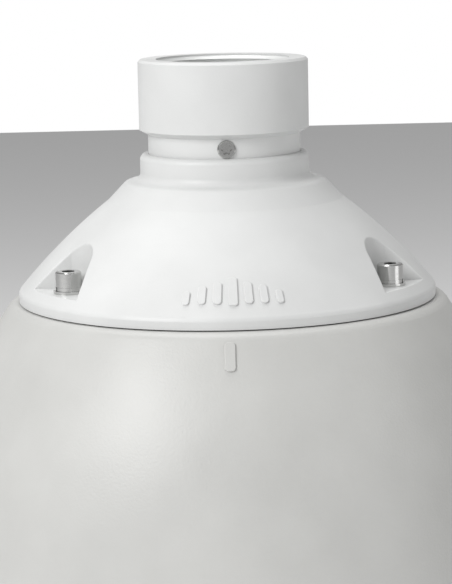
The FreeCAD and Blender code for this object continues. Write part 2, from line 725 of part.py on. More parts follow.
def housing_shell():
    body = new_body("housing_casting")
    corner = (belly.at(flange_under, s.shell_wall), flange_under)
    belt = (s.housing_radius - s.shell_wall, seam - s.belly_drop)
    bulge = belly.bulge(corner, belt, s.shell_wall)
    sill = skirt + s.flange_thickness
    revolve(body, "housing_turning", [[
        (flange_bore, flange_top), (s.ledge_radius, flange_top, s.ledge_bulge),
        (s.brow_radius, seam - s.brow_drop, s.belly_bulge),
        (s.housing_radius, seam - s.belly_drop), (s.housing_radius, skirt),
        (dome_bore, skirt), (dome_bore, sill), (belt[0], sill), (*belt, -bulge),
        corner, (flange_bore, flange_under)]])
    x, y = plate_boss_place()
    boss = pad(body, "plate_boss", [(x, y, s.plate_boss_radius)],
               plate_top, flange_under - plate_top + s.lock_fit)
    around(body, "plate_bosses", boss, s.plate_boss_count)
    hole = pocket(body, "plate_thread", [(x, y, s.plate_screw_radius)], plate_top + 10,
                  10)
    around(body, "plate_threads", hole, s.plate_boss_count)
    hole = pocket(body, "dome_thread", [(dome_screw_circle, 0, s.dome_screw_radius)],
                  sill, s.flange_thickness)
    around(body, "dome_threads", hole, s.dome_screw_count)
    document.recompute()
    mark = rib("heading_mark", belly, seam - 7.1, Size.of(3.4), Size.of(9.6), Size.of(1.2))
    keep("housing_shell", joined("housing_shell", [body, copy_of(
        mark, "heading_mark_placed", angle=Size.of(-91.2))]))


def dome_parts():
    seat = skirt - s.dome_seal_height - s.dome_flange_thickness
    low = skirt - s.ring_height
    recess = dome_flange + s.dome_gap
    ring_body = turned("dome_ring", [
        (recess, skirt), (s.housing_radius, skirt), (s.housing_radius, low + s.ring_round,
                                                     s.ring_round * 0.29),
        (s.housing_radius - s.ring_round, low), (s.dome_radius + s.dome_gap, low),
        (s.dome_radius + s.dome_gap, seat), (recess, seat)])
    through = pocket(ring_body, "dome_screw_hole", [(dome_screw_circle, 0,
                                                     s.dome_screw_radius + 0.2)],
                     skirt, s.ring_height)
    around(ring_body, "dome_screw_holes", through, s.dome_screw_count)
    sink = pocket(ring_body, "dome_screw_sink", [(dome_screw_circle, 0,
                                                  s.dome_screw_head + 0.3)],
                  low + s.dome_screw_sink, s.dome_screw_sink)
    around(ring_body, "dome_screw_sinks", sink, s.dome_screw_count)
    keep("dome_ring", ring_body)
    head = low + s.dome_screw_sink
    top = skirt + s.flange_thickness
    shank = s.dome_screw_radius - s.lock_fit
    screw = turned("dome_screw", [(0, top), (shank, top), (shank, head),
                                  (s.dome_screw_head, head), (s.dome_screw_head, low + 0.6),
                                  (s.dome_screw_head - 0.6, low), (0, low)])
    pocket(screw, "dome_screw_socket", [hexagon(Size.of(1.5))], low + 1.8, 1.8)
    keep("dome_ring_screws", circle_of("dome_ring_screws", screw, s.dome_screw_count,
                                       dome_screw_circle))
    keep("dome_seal", ring("dome_seal", dome_bore + 0.6, dome_flange, skirt,
                           s.dome_seal_height))
    inner = s.dome_radius - s.dome_wall
    quarter = 1 - math.sqrt(0.5)
    collar = skirt - s.dome_seal_height
    keep("dome_bubble", turned("dome_bubble", [
        (inner, collar), (dome_flange, collar), (dome_flange, seat),
        (s.dome_radius, seat), (s.dome_radius, tilt_axis, s.dome_radius * quarter),
        (0, tilt_axis - s.dome_radius), (0, tilt_axis - inner, -inner * quarter),
        (inner, tilt_axis)]))


# ------------------------------------------------------------------ base plate, boards, fan
def base_plate():
    """Steel disc with a sleeve below it that holds the pan bearing."""
    sleeve = s.bearing_outer + s.sleeve_wall
    hole = s.slip_radius + s.slip_fit
    land = s.bearing_outer - s.race_land
    sleeve_end = bearing_low - s.sleeve_tail
    body = turned("base_plate", [
        (hole, plate_top), (s.plate_radius, plate_top), (s.plate_radius, plate_under),
        (sleeve, plate_under), (sleeve, sleeve_end), (s.bearing_outer, sleeve_end),
        (s.bearing_outer, bearing_top), (land, bearing_top), (land, plate_under),
        (hole, plate_under)])
    hole = pocket(body, "plate_hole", [(*plate_boss_place(), s.plate_screw_radius + 0.2)],
                  plate_top, s.plate_thickness)
    around(body, "plate_holes", hole, s.plate_boss_count)
    motor_place = pan_radius() + pinion_radius()
    pocket(body, "motor_boss_hole", [(motor_place, 0, Size.of(5.0))], plate_top,
           s.plate_thickness)
    keep("base_plate", body)
    low = plate_under - 2.2
    shank = s.plate_screw_radius - s.lock_fit
    screw = turned("base_screw", [(0, plate_top + 8), (shank, plate_top + 8),
                                  (shank, plate_under), (s.plate_screw_head, plate_under),
                                  (s.plate_screw_head, low), (0, low)])
    keep("base_screws", circle_of("base_screws", screw, s.plate_boss_count,
                                  s.plate_boss_circle, first=s.plate_boss_azimuth))


def boards():
    """Main board on four spacers, with its terminal block, network jack and parts."""
    width = s.board_left + s.board_right
    board = block("board_sheet", (-s.board_left, -s.board_half_depth, board_under),
                  (width, 2 * s.board_half_depth, s.board_thickness))
    keep("main_board", board)
    spacers = []
    for x in (s.board_inset - s.board_left, s.board_right - s.board_inset):
        for y in (s.board_inset - s.board_half_depth, s.board_half_depth - s.board_inset):
            spacers.append(rod(f"spacer_{len(spacers) + 1}", (x, y, plate_top),
                               s.spacer_radius, s.board_lift))
    keep("board_spacers", group("board_spacers", spacers))
    terminal = block("terminal_body", (8, -32, board_top), (32, 12, 11.6))
    wells = [rod(f"terminal_well_{way}", (12 + 8 * way, -26, board_top + 9), 2.2, 4)
             for way in range(4)]
    mouths = [block(f"terminal_mouth_{way}", (9.5 + 8 * way, -33, board_top + 1.5),
                    (5, 7, 5)) for way in range(4)]
    keep("terminal_block", less("terminal_block", terminal, wells + mouths))
    jack = block("jack_body", (-24, 6, board_top), (16, 21, 13))
    mouth = block("jack_mouth", (-22, 12, board_top + 2.5), (12, 16, 8))
    keep("network_jack", less("network_jack", jack, [mouth]))
    cans = [rod(f"capacitor_{x}", (x, 2, board_top), 4, 10) for x in (6, 16, 26)]
    coil = block("transformer", (4, 10, board_top), (15, 14, 9))
    chip = block("processor", (-12, -14, board_top), (14, 14, 1.8))
    switch = less("switch_body", block("switch_case", (s.button_x - 3, s.button_y - 3,
                                                       board_top), (6, 6, 3.5)),
                  [rod("switch_well", (s.button_x, s.button_y, board_top + 1),
                       s.button_radius + 0.1, 4)])
    keep("board_parts", group("board_parts", [*cans, coil, chip, switch]))
    keep("reset_button", rod("reset_button", (s.button_x, s.button_y,
                                              board_top + 1.2 + s.button_travel),
                             s.button_radius, 4))
    heater = block("heater_case", (-15, 44, plate_top), (30, 14, 8))
    fins = [block(f"heater_groove_{row}", (-16, 46.5 + 4 * row, plate_top + 5), (32, 1.5, 4))
            for row in range(3)]
    keep("heater", less("heater", heater, fins))


def fan():
    half = s.fan_side / 2
    top = plate_top + s.fan_depth
    frame = new_body("fan_case")
    pad(frame, "fan_square", [rounded(s.fan_side, s.fan_side, Size.of(3))], plate_top,
        s.fan_depth)
    pocket(frame, "fan_well", [(0, 0, s.fan_bore)], top, s.fan_depth - s.fan_floor)
    window = (s.fan_bore + s.fan_hub) / 2
    opening = pocket(frame, "fan_window", [(window, 0, (s.fan_bore - s.fan_hub) / 2 - 0.6)],
                     top, s.fan_depth)
    around(frame, "fan_windows", opening, Size.of(6))
    corner = half - 4
    holes = [(x * corner, y * corner, Size.of(1.7)) for x in (-1, 1) for y in (-1, 1)]
    pocket(frame, "fan_screw_holes", holes, top, s.fan_depth)
    keep("fan_frame", place(frame, x=-s.fan_offset))
    low = plate_top + s.fan_floor + 0.3
    rotor = new_body("fan_wheel")
    pad(rotor, "fan_hub_pad", [(0, 0, s.fan_hub)], low, top - 0.5 - low)
    blade = pad(rotor, "fan_blade_pad", [[
        (s.fan_hub - 1, 1.0), (s.fan_blade - 2, 5.0), (s.fan_blade - 1.6, 3.6),
        (s.fan_hub - 1, -0.6)]], low + 0.5, top - 1.5 - low)
    around(rotor, "fan_blades", blade, s.fan_blade_count)
    keep("fan_rotor", place(rotor, x=-s.fan_offset))


# ------------------------------------------------------------------ pan drive
def pan_radius():
    return s.gear_module * s.pan_teeth / 2


def pinion_radius():
    return s.gear_module * s.pinion_teeth / 2


def gear_outline(teeth, turn):
    """Closed wire of an involute spur gear with a little backlash, facing +Z."""
    module, pressure = float(s.gear_module), math.radians(20)
    pitch = module * teeth / 2
    base = pitch * math.cos(pressure)
    tip, foot = pitch + module, pitch - 1.25 * module
    half_tooth = math.pi / (2 * teeth) - float(s.backlash) / (2 * pitch)
    at_pitch = math.tan(pressure) - pressure

    def flank(radius):
        roll = math.acos(min(1.0, base / radius))
        return half_tooth + at_pitch - (math.tan(roll) - roll)

    start = max(base, foot + 0.25 * module)
    steps = [start + (tip - start) * step / 4 for step in range(5)]
    points = []
    for tooth in range(teeth):
        middle = turn + 2 * math.pi * tooth / teeth
        points.append((foot, middle - flank(start)))
        points += [(radius, middle - flank(radius)) for radius in steps]
        points += [(radius, middle + flank(radius)) for radius in reversed(steps)]
        points.append((foot, middle + flank(start)))
    corners = [Vector(radius * math.cos(angle), radius * math.sin(angle), 0)
               for radius, angle in points]
    return Part.makePolygon(corners + corners[:1])


def gear_solid(name, teeth, turn, z, thickness):
    """A toothed disc: no sketch tool draws an involute, so its shape is computed."""
    face = Part.Face(gear_outline(int(teeth.value), turn))
    thing = document.addObject("Part::Feature", name)
    thing.Shape = face.extrude(Vector(0, 0, float(thickness)))
    return place(thing, z=z)


def pan_drive():
    """Geared motor on the base plate, its pinion, and the large gear with its hub."""
    x = pan_radius() + pinion_radius()
    motor_low = plate_under - s.pan_motor_height
    motor = joined("pan_motor_whole", [
        rod("pan_motor_case", (x, 0, motor_low), s.pan_motor_radius, s.pan_motor_height),
        rod("pan_motor_spigot", (x, 0, plate_under - 0.1), 4.9, 2)])
    keep("pan_motor", motor)
    half_step = math.pi / int(s.pinion_teeth.value)
    pinion = gear_solid("pinion_teeth", s.pinion_teeth, math.pi + half_step,
                        gear_under + s.clamp_gap, s.gear_thickness - s.clamp_gap)
    place(pinion, x=x, z=gear_under + s.clamp_gap)
    neck = rod("pinion_neck", (x, 0, gear_top - 1), 4.0, motor_low - s.clamp_gap - gear_top + 1)
    keep("pan_pinion", joined("pan_pinion", [pinion, neck]))
    bore = s.slip_radius + s.slip_fit * 2
    shaft = s.bearing_inner - s.press_gap
    hub = turned("pan_hub", [
        (bore, bearing_top + 1), (shaft, bearing_top + 1), (shaft, bearing_low),
        (shaft + s.race_land, bearing_low), (shaft + s.race_land, gear_top - 1),
        (bore, gear_top - 1)])
    toothed = gear_solid("pan_teeth_ring", s.pan_teeth, 0.0, gear_under, s.gear_thickness)
    hole = rod("pan_gear_bore", (0, 0, gear_under - 1), bore, s.gear_thickness + 2)
    screw_place = (s.bearing_outer + pan_radius()) / 2
    holes = [rod(f"pan_gear_hole_{way + 1}", (screw_place * cosine(45 + 90 * way),
                                              screw_place * sine(45 + 90 * way),
                                              gear_under - 1), 1.5, s.gear_thickness + 2)
             for way in range(4)]
    web = less("pan_gear_web", toothed, [hole, *holes])
    keep("pan_gear", joined("pan_gear", [hub, web]))


def pan_bearing():
    """Deep-groove ball bearing: two races, balls and their cage."""
    top = bearing_top
    low = bearing_low
    middle = top - s.bearing_height / 2
    groove = s.ball_radius + s.running_fit
    half = s.ball_radius * 0.8
    sink = root(groove * groove - half * half)
    outer_land = s.ball_circle + sink
    inner_land = s.ball_circle - sink
    keep("bearing_outer_race", turned("bearing_outer_race", [
        (outer_land, top), (s.bearing_outer, top), (s.bearing_outer, low),
        (outer_land, low), (outer_land, middle - half, sink - groove),
        (outer_land, middle + half)]))
    keep("bearing_inner_race", turned("bearing_inner_race", [
        (s.bearing_inner, top), (inner_land, top),
        (inner_land, middle + half, sink - groove),
        (inner_land, middle - half), (inner_land, low), (s.bearing_inner, low)]))
    ball = document.addObject("Part::Sphere", "bearing_ball")
    bind(ball, Radius=s.ball_radius)
    keep("bearing_balls", circle_of("bearing_balls", ball, s.ball_count, s.ball_circle,
                                    middle))
    wall = sink / 2
    band = ring("cage_band", s.ball_circle - wall, s.ball_circle + wall,
                middle + s.ball_radius + 0.8, 2 * s.ball_radius + 1.6)
    seat = pocket(band, "cage_seat", [(0, middle, groove)], 0, s.bearing_outer,
                  role="YZ_Plane", flip=True)
    around(band, "cage_seats", seat, s.ball_count)
    keep("bearing_cage", band)


def slip_ring():
    """Cup fixed in the base plate and the rotor that hangs in it."""
    top = plate_top + 2
    bore = s.slip_rotor_radius + s.slip_fit
    keep("slip_ring_stator", turned("slip_ring_stator", [
        (0, top), (s.slip_radius + 5, top), (s.slip_radius + 5, plate_top),
        (s.slip_radius, plate_top), (s.slip_radius, slip_end), (bore, slip_end),
        (bore, plate_top), (0, plate_top)]))
    flange = s.slip_radius + 4
    keep("slip_ring_rotor", turned("slip_ring_rotor", [
        (0, plate_top - 0.5), (s.slip_rotor_radius, plate_top - 0.5),
        (s.slip_rotor_radius, yoke_under), (flange, yoke_under), (flange, yoke_under - 2),
        (0, yoke_under - 2)]))


# ------------------------------------------------------------------ yoke and tilt drive
def yoke():
    """U-shaped frame with ears for the shroud, and holes for shafts and screws."""
    out, inside = yoke_outside, yoke_inside
    tail = tilt_axis - s.yoke_tail
    ear_low = shroud_top + s.shroud_lip
    ear_top = ear_low + s.ear_thickness
    reach = out + s.ear_length
    body = new_body("yoke")
    pad(body, "yoke_frame", [[
        (-out, yoke_top), (out, yoke_top), (out, ear_top), (reach, ear_top),
        (reach, ear_low), (out, ear_low), (out, tail), (inside, tail),
        (inside, yoke_under), (-inside, yoke_under), (-inside, tail), (-out, tail),
        (-out, ear_low), (-reach, ear_low), (-reach, ear_top),
        (-out, ear_top)]], 0, 2 * s.yoke_half_depth, role="XZ_Plane", middle=True)
    disc = s.bearing_outer + pan_radius()
    pad(body, "yoke_disc", [(0, 0, disc / 2 + 6)], yoke_under, s.yoke_thickness)
    pocket(body, "wire_hole", [(0, 0, s.slip_radius + 1)], yoke_top, s.yoke_thickness)
    holes = [(disc / 2 * cosine(45 + 90 * way), disc / 2 * sine(45 + 90 * way),
              Size.of(1.5)) for way in range(4)]
    pocket(body, "yoke_screw_holes", holes, yoke_top, s.yoke_thickness)
    pocket(body, "bushing_holes", [(0, tilt_axis, s.bushing_radius)], 0, 3 * out,
           role="YZ_Plane", middle=True)
    pocket(body, "motor_hole", [(0, motor_level, Size.of(4.0))], 0, 2 * out,
           role="YZ_Plane", flip=True)
    keep("yoke", body)
    head = yoke_under - 2
    screw = turned("yoke_screw", [(0, gear_top), (1.45, gear_top), (1.45, yoke_under),
                                  (2.75, yoke_under), (2.75, head), (0, head)])
    keep("yoke_screws", circle_of("yoke_screws", screw, Size.of(4), disc / 2,
                                  first=Size.of(45)))
    half = s.trunnion_radius + s.running_fit
    bushes = []
    for side, foot in (("left", -out - 0.4), ("right", inside - 0.4)):
        bushes.append(less(f"bushing_{side}", rod(f"bushing_{side}_outside",
                                                  (foot, 0, tilt_axis), s.bushing_radius - s.press_gap,
                                                  s.yoke_thickness + 0.8, "X"),
                           [rod(f"bushing_{side}_bore", (foot - 1, 0, tilt_axis), half,
                                s.yoke_thickness + 3, "X")]))
    keep("tilt_bushings", group("tilt_bushings", bushes))


def tilt_drive():
    """Motor inside the right arm; pulleys and toothed belt outside it."""
    inside, z = yoke_inside, motor_level
    motor = joined("tilt_motor_whole", [
        rod("tilt_motor_case", (inside - s.tilt_motor_length, 0, z), s.tilt_motor_radius,
            s.tilt_motor_length, "X"),
        rod("tilt_motor_spigot", (inside - 1, 0, z), 3.9, s.yoke_thickness + 1, "X")])
    keep("tilt_motor", motor)
    x = yoke_outside + s.pulley_gap
    drive = pulley("drive_pulley", s.drive_pulley_radius, Size.of(0))
    keep("tilt_drive_pulley", place(drive, x=x, z=z))
    driven = pulley("driven_pulley", s.tilt_pulley_radius,
                    s.trunnion_radius + s.press_gap)
    keep("tilt_pulley", tilted(driven, x=x))
    belt_x = x + s.pulley_flange + s.belt_gap
    small = s.drive_pulley_radius + s.belt_gap
    large = s.tilt_pulley_radius + s.belt_gap
    outer = belt_loop("belt_outside", belt_x, small + s.belt_thickness,
                      large + s.belt_thickness, s.belt_width)
    inner = belt_loop("belt_inside", belt_x - 1, small, large, s.belt_width + 2)
    keep("tilt_belt", less("tilt_belt", outer, [inner]))


def pulley(name, radius, bore):
    """A flanged pulley about the X axis, from x = 0 outwards."""
    flange = s.pulley_flange
    width = s.belt_width + 2 * s.belt_gap
    rise = radius + s.belt_thickness
    return turned(name, [
        (0, bore), (0, rise), (flange, rise), (flange, radius), (flange + width, radius),
        (flange + width, rise), (2 * flange + width, rise), (2 * flange + width, bore)],
        axis="H_Axis")


def belt_loop(name, x, small, large, width):
    """The closed outline of a belt round both pulleys, thickened along X."""
    lean = (large - small) / s.tilt_motor_rise
    level = root(1 - lean * lean)
    top, low = motor_level, tilt_axis
    body = new_body(name)
    points = [(-small * level, top + small * lean, small - small * lean),
              (small * level, top + small * lean),
              (large * level, low + large * lean, large + large * lean),
              (-large * level, low + large * lean)]
    pad(body, name + "_pad", [points], x, width, role="YZ_Plane")
    return body


def tilted(thing, x=0):
    """Hang a piece, drawn about the tilt axis, at the resting tilt."""
    return place(thing, x=x, z=tilt_axis, angle=s.tilt_rest, axis=Vector(1, 0, 0))


def inner_shroud():
    """Black liner that turns with the camera, slotted in front for the lens."""
    outer, inner = shroud_radius, shroud_radius - s.shroud_wall
    top, ledge = shroud_top, yoke_outside + s.shroud_ledge_gap
    quarter = 1 - math.sqrt(0.5)
    body = turned("inner_shroud", [
        (ledge, top + s.shroud_lip), (outer, top + s.shroud_lip),
        (outer, tilt_axis, outer * quarter), (0, tilt_axis - outer),
        (0, tilt_axis - inner, -inner * quarter), (inner, tilt_axis),
        (inner, top), (ledge, top)])
    slot = s.shroud_slot
    front = [[(-slot, -outer - slot), (-slot, s.slot_end), (slot, s.slot_end),
              (slot, -outer - slot)]]
    pocket(body, "lens_slot", front, tilt_axis + slot, outer + 2 * slot)
    keep("inner_shroud", body)


# ------------------------------------------------------------------ zoom camera block
def camera_case():
    """Shell with a round lens port, two bulkheads, filter rails and sensor posts."""
    x, z, wall = s.case_half_width, s.case_half_height, s.case_wall
    inner = [rounded(2 * (x - wall), 2 * (z - wall), s.case_round / 2)]
    case = new_body("camera_casing")
    length = s.case_front + s.case_back
    pad(case, "case_block", [rounded(2 * x, 2 * z, s.case_round)], -s.case_back, length,
        role="XZ_Plane")
    front = s.bulkhead_front
    back = s.bulkhead_back
    pocket(case, "lens_port", [(0, 0, s.lens_radius + s.lock_fit)], s.case_front, wall,
           role="XZ_Plane")
    pocket(case, "nose_room", inner, s.case_front - wall, s.case_front - wall - front,
           role="XZ_Plane")
    pocket(case, "front_port", [(0, 0, s.lens_bore)], front, wall, role="XZ_Plane")
    pocket(case, "lens_room", inner, front - wall, front - wall + back, role="XZ_Plane")
    ports = [(0, 0, Size.of(7.0)), (s.lead_x, s.lead_z, s.lead_radius + s.slip_fit),
             (-s.lead_x, -s.lead_z, s.lead_radius + s.slip_fit)]
    pocket(case, "back_ports", ports, -back, wall, role="XZ_Plane")
    pocket(case, "sensor_room", inner, -back - wall, s.case_back - back - wall,
           role="XZ_Plane")
    rails = [[(-26, top), (26, top), (26, top - 1.5), (-26, top - 1.5)]
             for top in (Size.of(9.7), Size.of(-8.2))]
    pad(case, "filter_rails", rails, -back - wall - 2.8, Size.of(2.8), role="XZ_Plane")
    posts = [(16, -16, Size.of(2.0)), (-16, 16, Size.of(2.0))]
    pad(case, "sensor_posts", posts, -back - wall - 8, Size.of(8), role="XZ_Plane")
    keep("camera_casing", tilted(case))
    cover = new_body("casing_rear_cover")
    pad(cover, "cover_plate", [rounded(2 * x, 2 * z, s.case_round)], -s.case_back - wall,
        wall, role="XZ_Plane")
    keep("casing_rear_cover", tilted(cover))


def cradle():
    """Sheet cradle under and beside the casing, with a trunnion on each side."""
    x, z, wall = s.case_half_width, s.case_half_height, s.cradle_thickness
    body = new_body("camera_cradle")
    pad(body, "cradle_channel", [[
        (-x - wall, 12), (-x, 12), (-x, -z), (x, -z), (x, 12), (x + wall, 12),
        (x + wall, -z - wall), (-x - wall, -z - wall)]], 0, 2 * s.cradle_half_depth,
        role="XZ_Plane", middle=True)
    keep("camera_cradle", tilted(body))
    pins = [rod("trunnion_left", (-yoke_outside - 2, 0, 0), s.trunnion_radius,
                yoke_outside + 2 - x - wall, "X")]
    reach = s.pulley_gap + 2 * s.pulley_flange + s.belt_width + 2 * s.belt_gap
    pins.append(rod("trunnion_right", (x + wall, 0, 0), s.trunnion_radius,
                    yoke_outside + reach - x - wall, "X"))
    keep("tilt_trunnions", tilted(group("tilt_trunnions", pins)))
    screws = []
    for px in (-20, 20):
        for py in (-12, 12):
            screws.append(rod(f"cradle_screw_{len(screws) + 1}", (px, py, -z - wall - 1.6),
                              2.75, 1.6))
    keep("cradle_screws", tilted(group("cradle_screws", screws)))


def optics():
    """Lens barrel with its front glass, guide rods, motors and image sensor."""
    wall = s.case_wall
    lip = s.case_half_height - wall - s.lock_fit
    keep("lens_barrel", tilted(turned_along_y("lens_barrel", [
        (-s.lens_nose, s.lens_bore), (-s.lens_nose, s.lens_radius),
        (wall - s.case_front, s.lens_radius), (wall - s.case_front, lip),
        (2 * wall - s.case_front, lip), (2 * wall - s.case_front, s.lens_radius),
        (-s.bulkhead_front, s.lens_radius), (-s.bulkhead_front, s.lens_bore)])))
    keep("lens_ring", tilted(turned_along_y("lens_ring", [
        (-s.lens_nose - s.lens_cap, s.lens_bore - 0.8),
        (-s.lens_nose - s.lens_cap, s.lens_radius - 0.5),
        (-s.lens_nose - s.lens_cap + 0.5, s.lens_radius), (-s.lens_nose, s.lens_radius),
        (-s.lens_nose - 1, s.lens_bore - 0.8), (-s.lens_nose - 1, s.lens_bore),
        (-s.lens_nose, s.lens_bore)])))
    glass, rise = s.lens_bore - s.lock_fit, s.lens_crown
    sphere = (glass * glass + rise * rise) / (2 * rise)
    bulge = sphere - root(sphere * sphere - (glass * glass + rise * rise) / 4)
    rim = -s.lens_nose
    keep("front_lens", tilted(turned_along_y("front_lens", [
        (rim - rise, 0, bulge), (rim, glass), (rim + s.lens_edge, glass),
        (rim + s.lens_edge, 0)])))
    foot, length = wall - s.bulkhead_front, s.bulkhead_front + s.bulkhead_back - wall
    rods = [rod(f"guide_rod_{side}", (sign * -s.rod_x, foot, sign * s.rod_z), s.rod_radius,
                length, "Y") for side, sign in (("left", 1), ("right", -1))]
    keep("guide_rods", tilted(group("guide_rods", rods)))
    behind = s.bulkhead_back + wall
    motors = [rod(f"lens_motor_{side}", (sign * s.lead_x, behind, sign * s.lead_z),
                  s.lens_motor_radius, s.lens_motor_length, "Y")
              for side, sign in (("zoom", 1), ("focus", -1))]
    keep("lens_motors", tilted(group("lens_motors", motors)))
    board = block("sensor_board", (-18, behind + 8, -18), (36, 1.6, 36))
    chip = block("sensor_chip", (-7, behind + 5.5, -5), (14, 2.5, 10))
    keep("image_sensor", tilted(joined("image_sensor_whole", [board, chip])))
    for name, sign in (("zoom_screw", 1), ("focus_screw", -1)):
        lead = rod(name + "_bar", (sign * s.lead_x, foot + s.clamp_gap, sign * s.lead_z),
                   s.lead_radius, behind - foot - 2 * s.clamp_gap, "Y")
        keep(name, tilted(group(name + "_placed", [lead])))
    slide = block("filter_plate", (-15, behind + 0.3, -8), (30, 1.5, 16))
    keep("ir_filter", tilted(less("ir_filter", slide, [rod("filter_notch", (
        15, behind - 1, 0), 1.5, 4, "Y")])))


def lens_group(name, place_y, thickness, sign):
    """A lens in its holder, with ears on both guide rods and on its lead screw."""
    start = place_y - thickness / 2
    ears = []
    for number, (x, z) in enumerate(((-s.rod_x, s.rod_z), (s.rod_x, -s.rod_z),
                                     (sign * s.lead_x, sign * s.lead_z))):
        tip = rod(f"{name}_ear_{number}", (x, start, z), 3.4, thickness, "Y")
        reach = root(Size.of(x) * x + Size.of(z) * z)
        arm = block(f"{name}_arm_{number}", (0, 0, 0), (reach, thickness, 5))
        heading = -math.degrees(math.atan2(float(z), float(x)))
        arm.Placement = Placement(Vector(), Rotation(Vector(0, 1, 0), heading))
        bind(arm, Placement__Base__y=start)
        ears += [tip, arm]
    disc = rod(name + "_disc", (0, start, 0), s.group_radius, thickness, "Y")
    fit = s.running_fit
    holes = [rod(f"{name}_bore_{number}", (x, start - 1, z), radius, thickness + 2, "Y")
             for number, (x, z, radius) in enumerate((
                 (-s.rod_x, s.rod_z, s.rod_radius + fit),
                 (s.rod_x, -s.rod_z, s.rod_radius + fit),
                 (sign * s.lead_x, sign * s.lead_z, s.lead_radius + fit)))]
    keep(name, tilted(less(name, joined(name + "_whole", [disc, *ears]), holes)))


# ------------------------------------------------------------------ build, check, write
def check():
    """Stop if any object failed, or any sub-part's shape is empty or invalid."""
    document.recompute()
    failed = [thing.Name for thing in document.Objects
              if {"Invalid", "Error"} & set(thing.State)]
    bad = [label for label, thing in parts.items()
           if thing.Shape.isNull() or not thing.Shape.isValid() or not thing.Shape.Solids]
    if failed or bad:
        raise RuntimeError(f"failed objects {failed}, bad shapes {bad}")


def write():
    os.makedirs("parts", exist_ok=True)
    for label, thing in parts.items():
        thing.Shape.exportStep(f"parts/{label}.step")


def main():
    pipe_adapter()
    lock_screws()
    neck_seal()
    top_cap()
    cap_fasteners()
    cap_small_parts()
    housing_shell()
    dome_parts()
    base_plate()
    boards()
    fan()
    pan_drive()
    pan_bearing()
    slip_ring()
    yoke()
    tilt_drive()
    inner_shroud()
    camera_case()
    cradle()
    optics()
    lens_group("zoom_group", -s.zoom_place, s.zoom_thickness, 1)
    lens_group("focus_group", s.focus_place, s.focus_thickness, -1)
    check()
    write()


main()
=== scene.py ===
"""Looks of a hanging outdoor pan, tilt and zoom camera, laid out as an add-on.

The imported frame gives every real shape.  This script finishes each one with a
procedural material, adds the ridges of the pipe thread, and lights the stage.
Metres, +Z up, origin at the mouth of the pipe adapter.
"""

import math

import bpy
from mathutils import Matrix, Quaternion, Vector


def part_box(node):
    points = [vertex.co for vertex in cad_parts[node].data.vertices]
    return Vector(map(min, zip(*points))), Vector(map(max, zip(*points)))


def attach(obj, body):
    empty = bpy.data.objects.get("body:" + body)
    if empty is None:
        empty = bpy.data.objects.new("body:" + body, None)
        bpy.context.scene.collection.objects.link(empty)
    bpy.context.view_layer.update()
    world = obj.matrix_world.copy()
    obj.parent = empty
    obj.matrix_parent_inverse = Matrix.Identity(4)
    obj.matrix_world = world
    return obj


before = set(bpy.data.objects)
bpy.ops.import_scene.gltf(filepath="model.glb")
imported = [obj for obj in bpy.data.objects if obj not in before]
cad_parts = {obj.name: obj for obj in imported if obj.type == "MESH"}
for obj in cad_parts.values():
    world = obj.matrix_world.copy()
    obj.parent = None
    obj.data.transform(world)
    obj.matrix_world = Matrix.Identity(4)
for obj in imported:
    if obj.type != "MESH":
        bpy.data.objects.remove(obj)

bl_info = {
    "name": "Pan, tilt and zoom camera",
    "version": (1, 0, 0),
    "blender": (4, 5, 0),
    "location": "View3D > Sidebar > Camera",
    "description": "Finishes, pipe thread and stage of a hanging camera",
    "category": "Object",
}

# Finish of each frame node; a node that isn't listed is plain steel
KINDS = {
    "pipe_adapter": "cap_coat", "top_cap": "cap_coat", "housing_shell": "powder_coat",
    "lock_screws": "stainless", "cap_screws": "stainless", "cap_spring_washers": "stainless",
    "cap_flat_washers": "stainless", "dome_ring": "powder_coat", "dome_ring_screws": "stainless",
    "base_screws": "stainless", "neck_seal": "rubber", "cap_gasket": "rubber",
    "cable_grommet": "rubber", "dome_seal": "rubber", "tilt_belt": "rubber",
    "clamp_ring": "aluminium", "base_plate": "aluminium", "yoke": "aluminium",
    "camera_cradle": "aluminium", "heater": "aluminium", "dome_bubble": "dome_clear",
    "front_lens": "lens_glass", "zoom_group": "lens_glass", "focus_group": "lens_glass",
    "ir_filter": "lens_glass", "main_board": "circuit_board", "terminal_block": "green_plastic",
    "inner_shroud": "black_plastic", "camera_casing": "black_plastic",
    "casing_rear_cover": "black_plastic", "lens_barrel": "black_plastic",
    "fan_frame": "black_plastic", "fan_rotor": "black_plastic", "board_parts": "black_plastic",
    "image_sensor": "black_plastic", "pan_gear": "white_nylon", "pan_pinion": "brass",
    "tilt_bushings": "bronze", "reset_button": "grey_plastic",
}
# Base colour, roughness, metallic, grain size (1/m), bump height (m)
FINISHES = {
    "powder_coat": ((0.50, 0.50, 0.485), 0.42, 0.0, 1100.0, 0.00006),
    "cap_coat": ((0.62, 0.625, 0.62), 0.46, 0.0, 1500.0, 0.00003),
    "stainless": ((0.62, 0.62, 0.61), 0.16, 1.0, 900.0, 0.00001),
    "steel": ((0.45, 0.45, 0.45), 0.28, 1.0, 900.0, 0.00001),
    "aluminium": ((0.58, 0.59, 0.60), 0.38, 1.0, 700.0, 0.00002),
    "rubber": ((0.025, 0.025, 0.027), 0.78, 0.0, 1200.0, 0.00003),
    "black_plastic": ((0.02, 0.02, 0.022), 0.45, 0.0, 1500.0, 0.00002),
    "grey_plastic": ((0.25, 0.25, 0.26), 0.5, 0.0, 1500.0, 0.00002),
    "white_nylon": ((0.75, 0.74, 0.70), 0.5, 0.0, 1200.0, 0.00001),
    "green_plastic": ((0.03, 0.22, 0.08), 0.45, 0.0, 1200.0, 0.00001),
    "circuit_board": ((0.01, 0.12, 0.05), 0.35, 0.0, 600.0, 0.00002),
    "brass": ((0.62, 0.45, 0.18), 0.25, 1.0, 900.0, 0.00001),
    "bronze": ((0.45, 0.27, 0.12), 0.35, 1.0, 900.0, 0.00001),
}
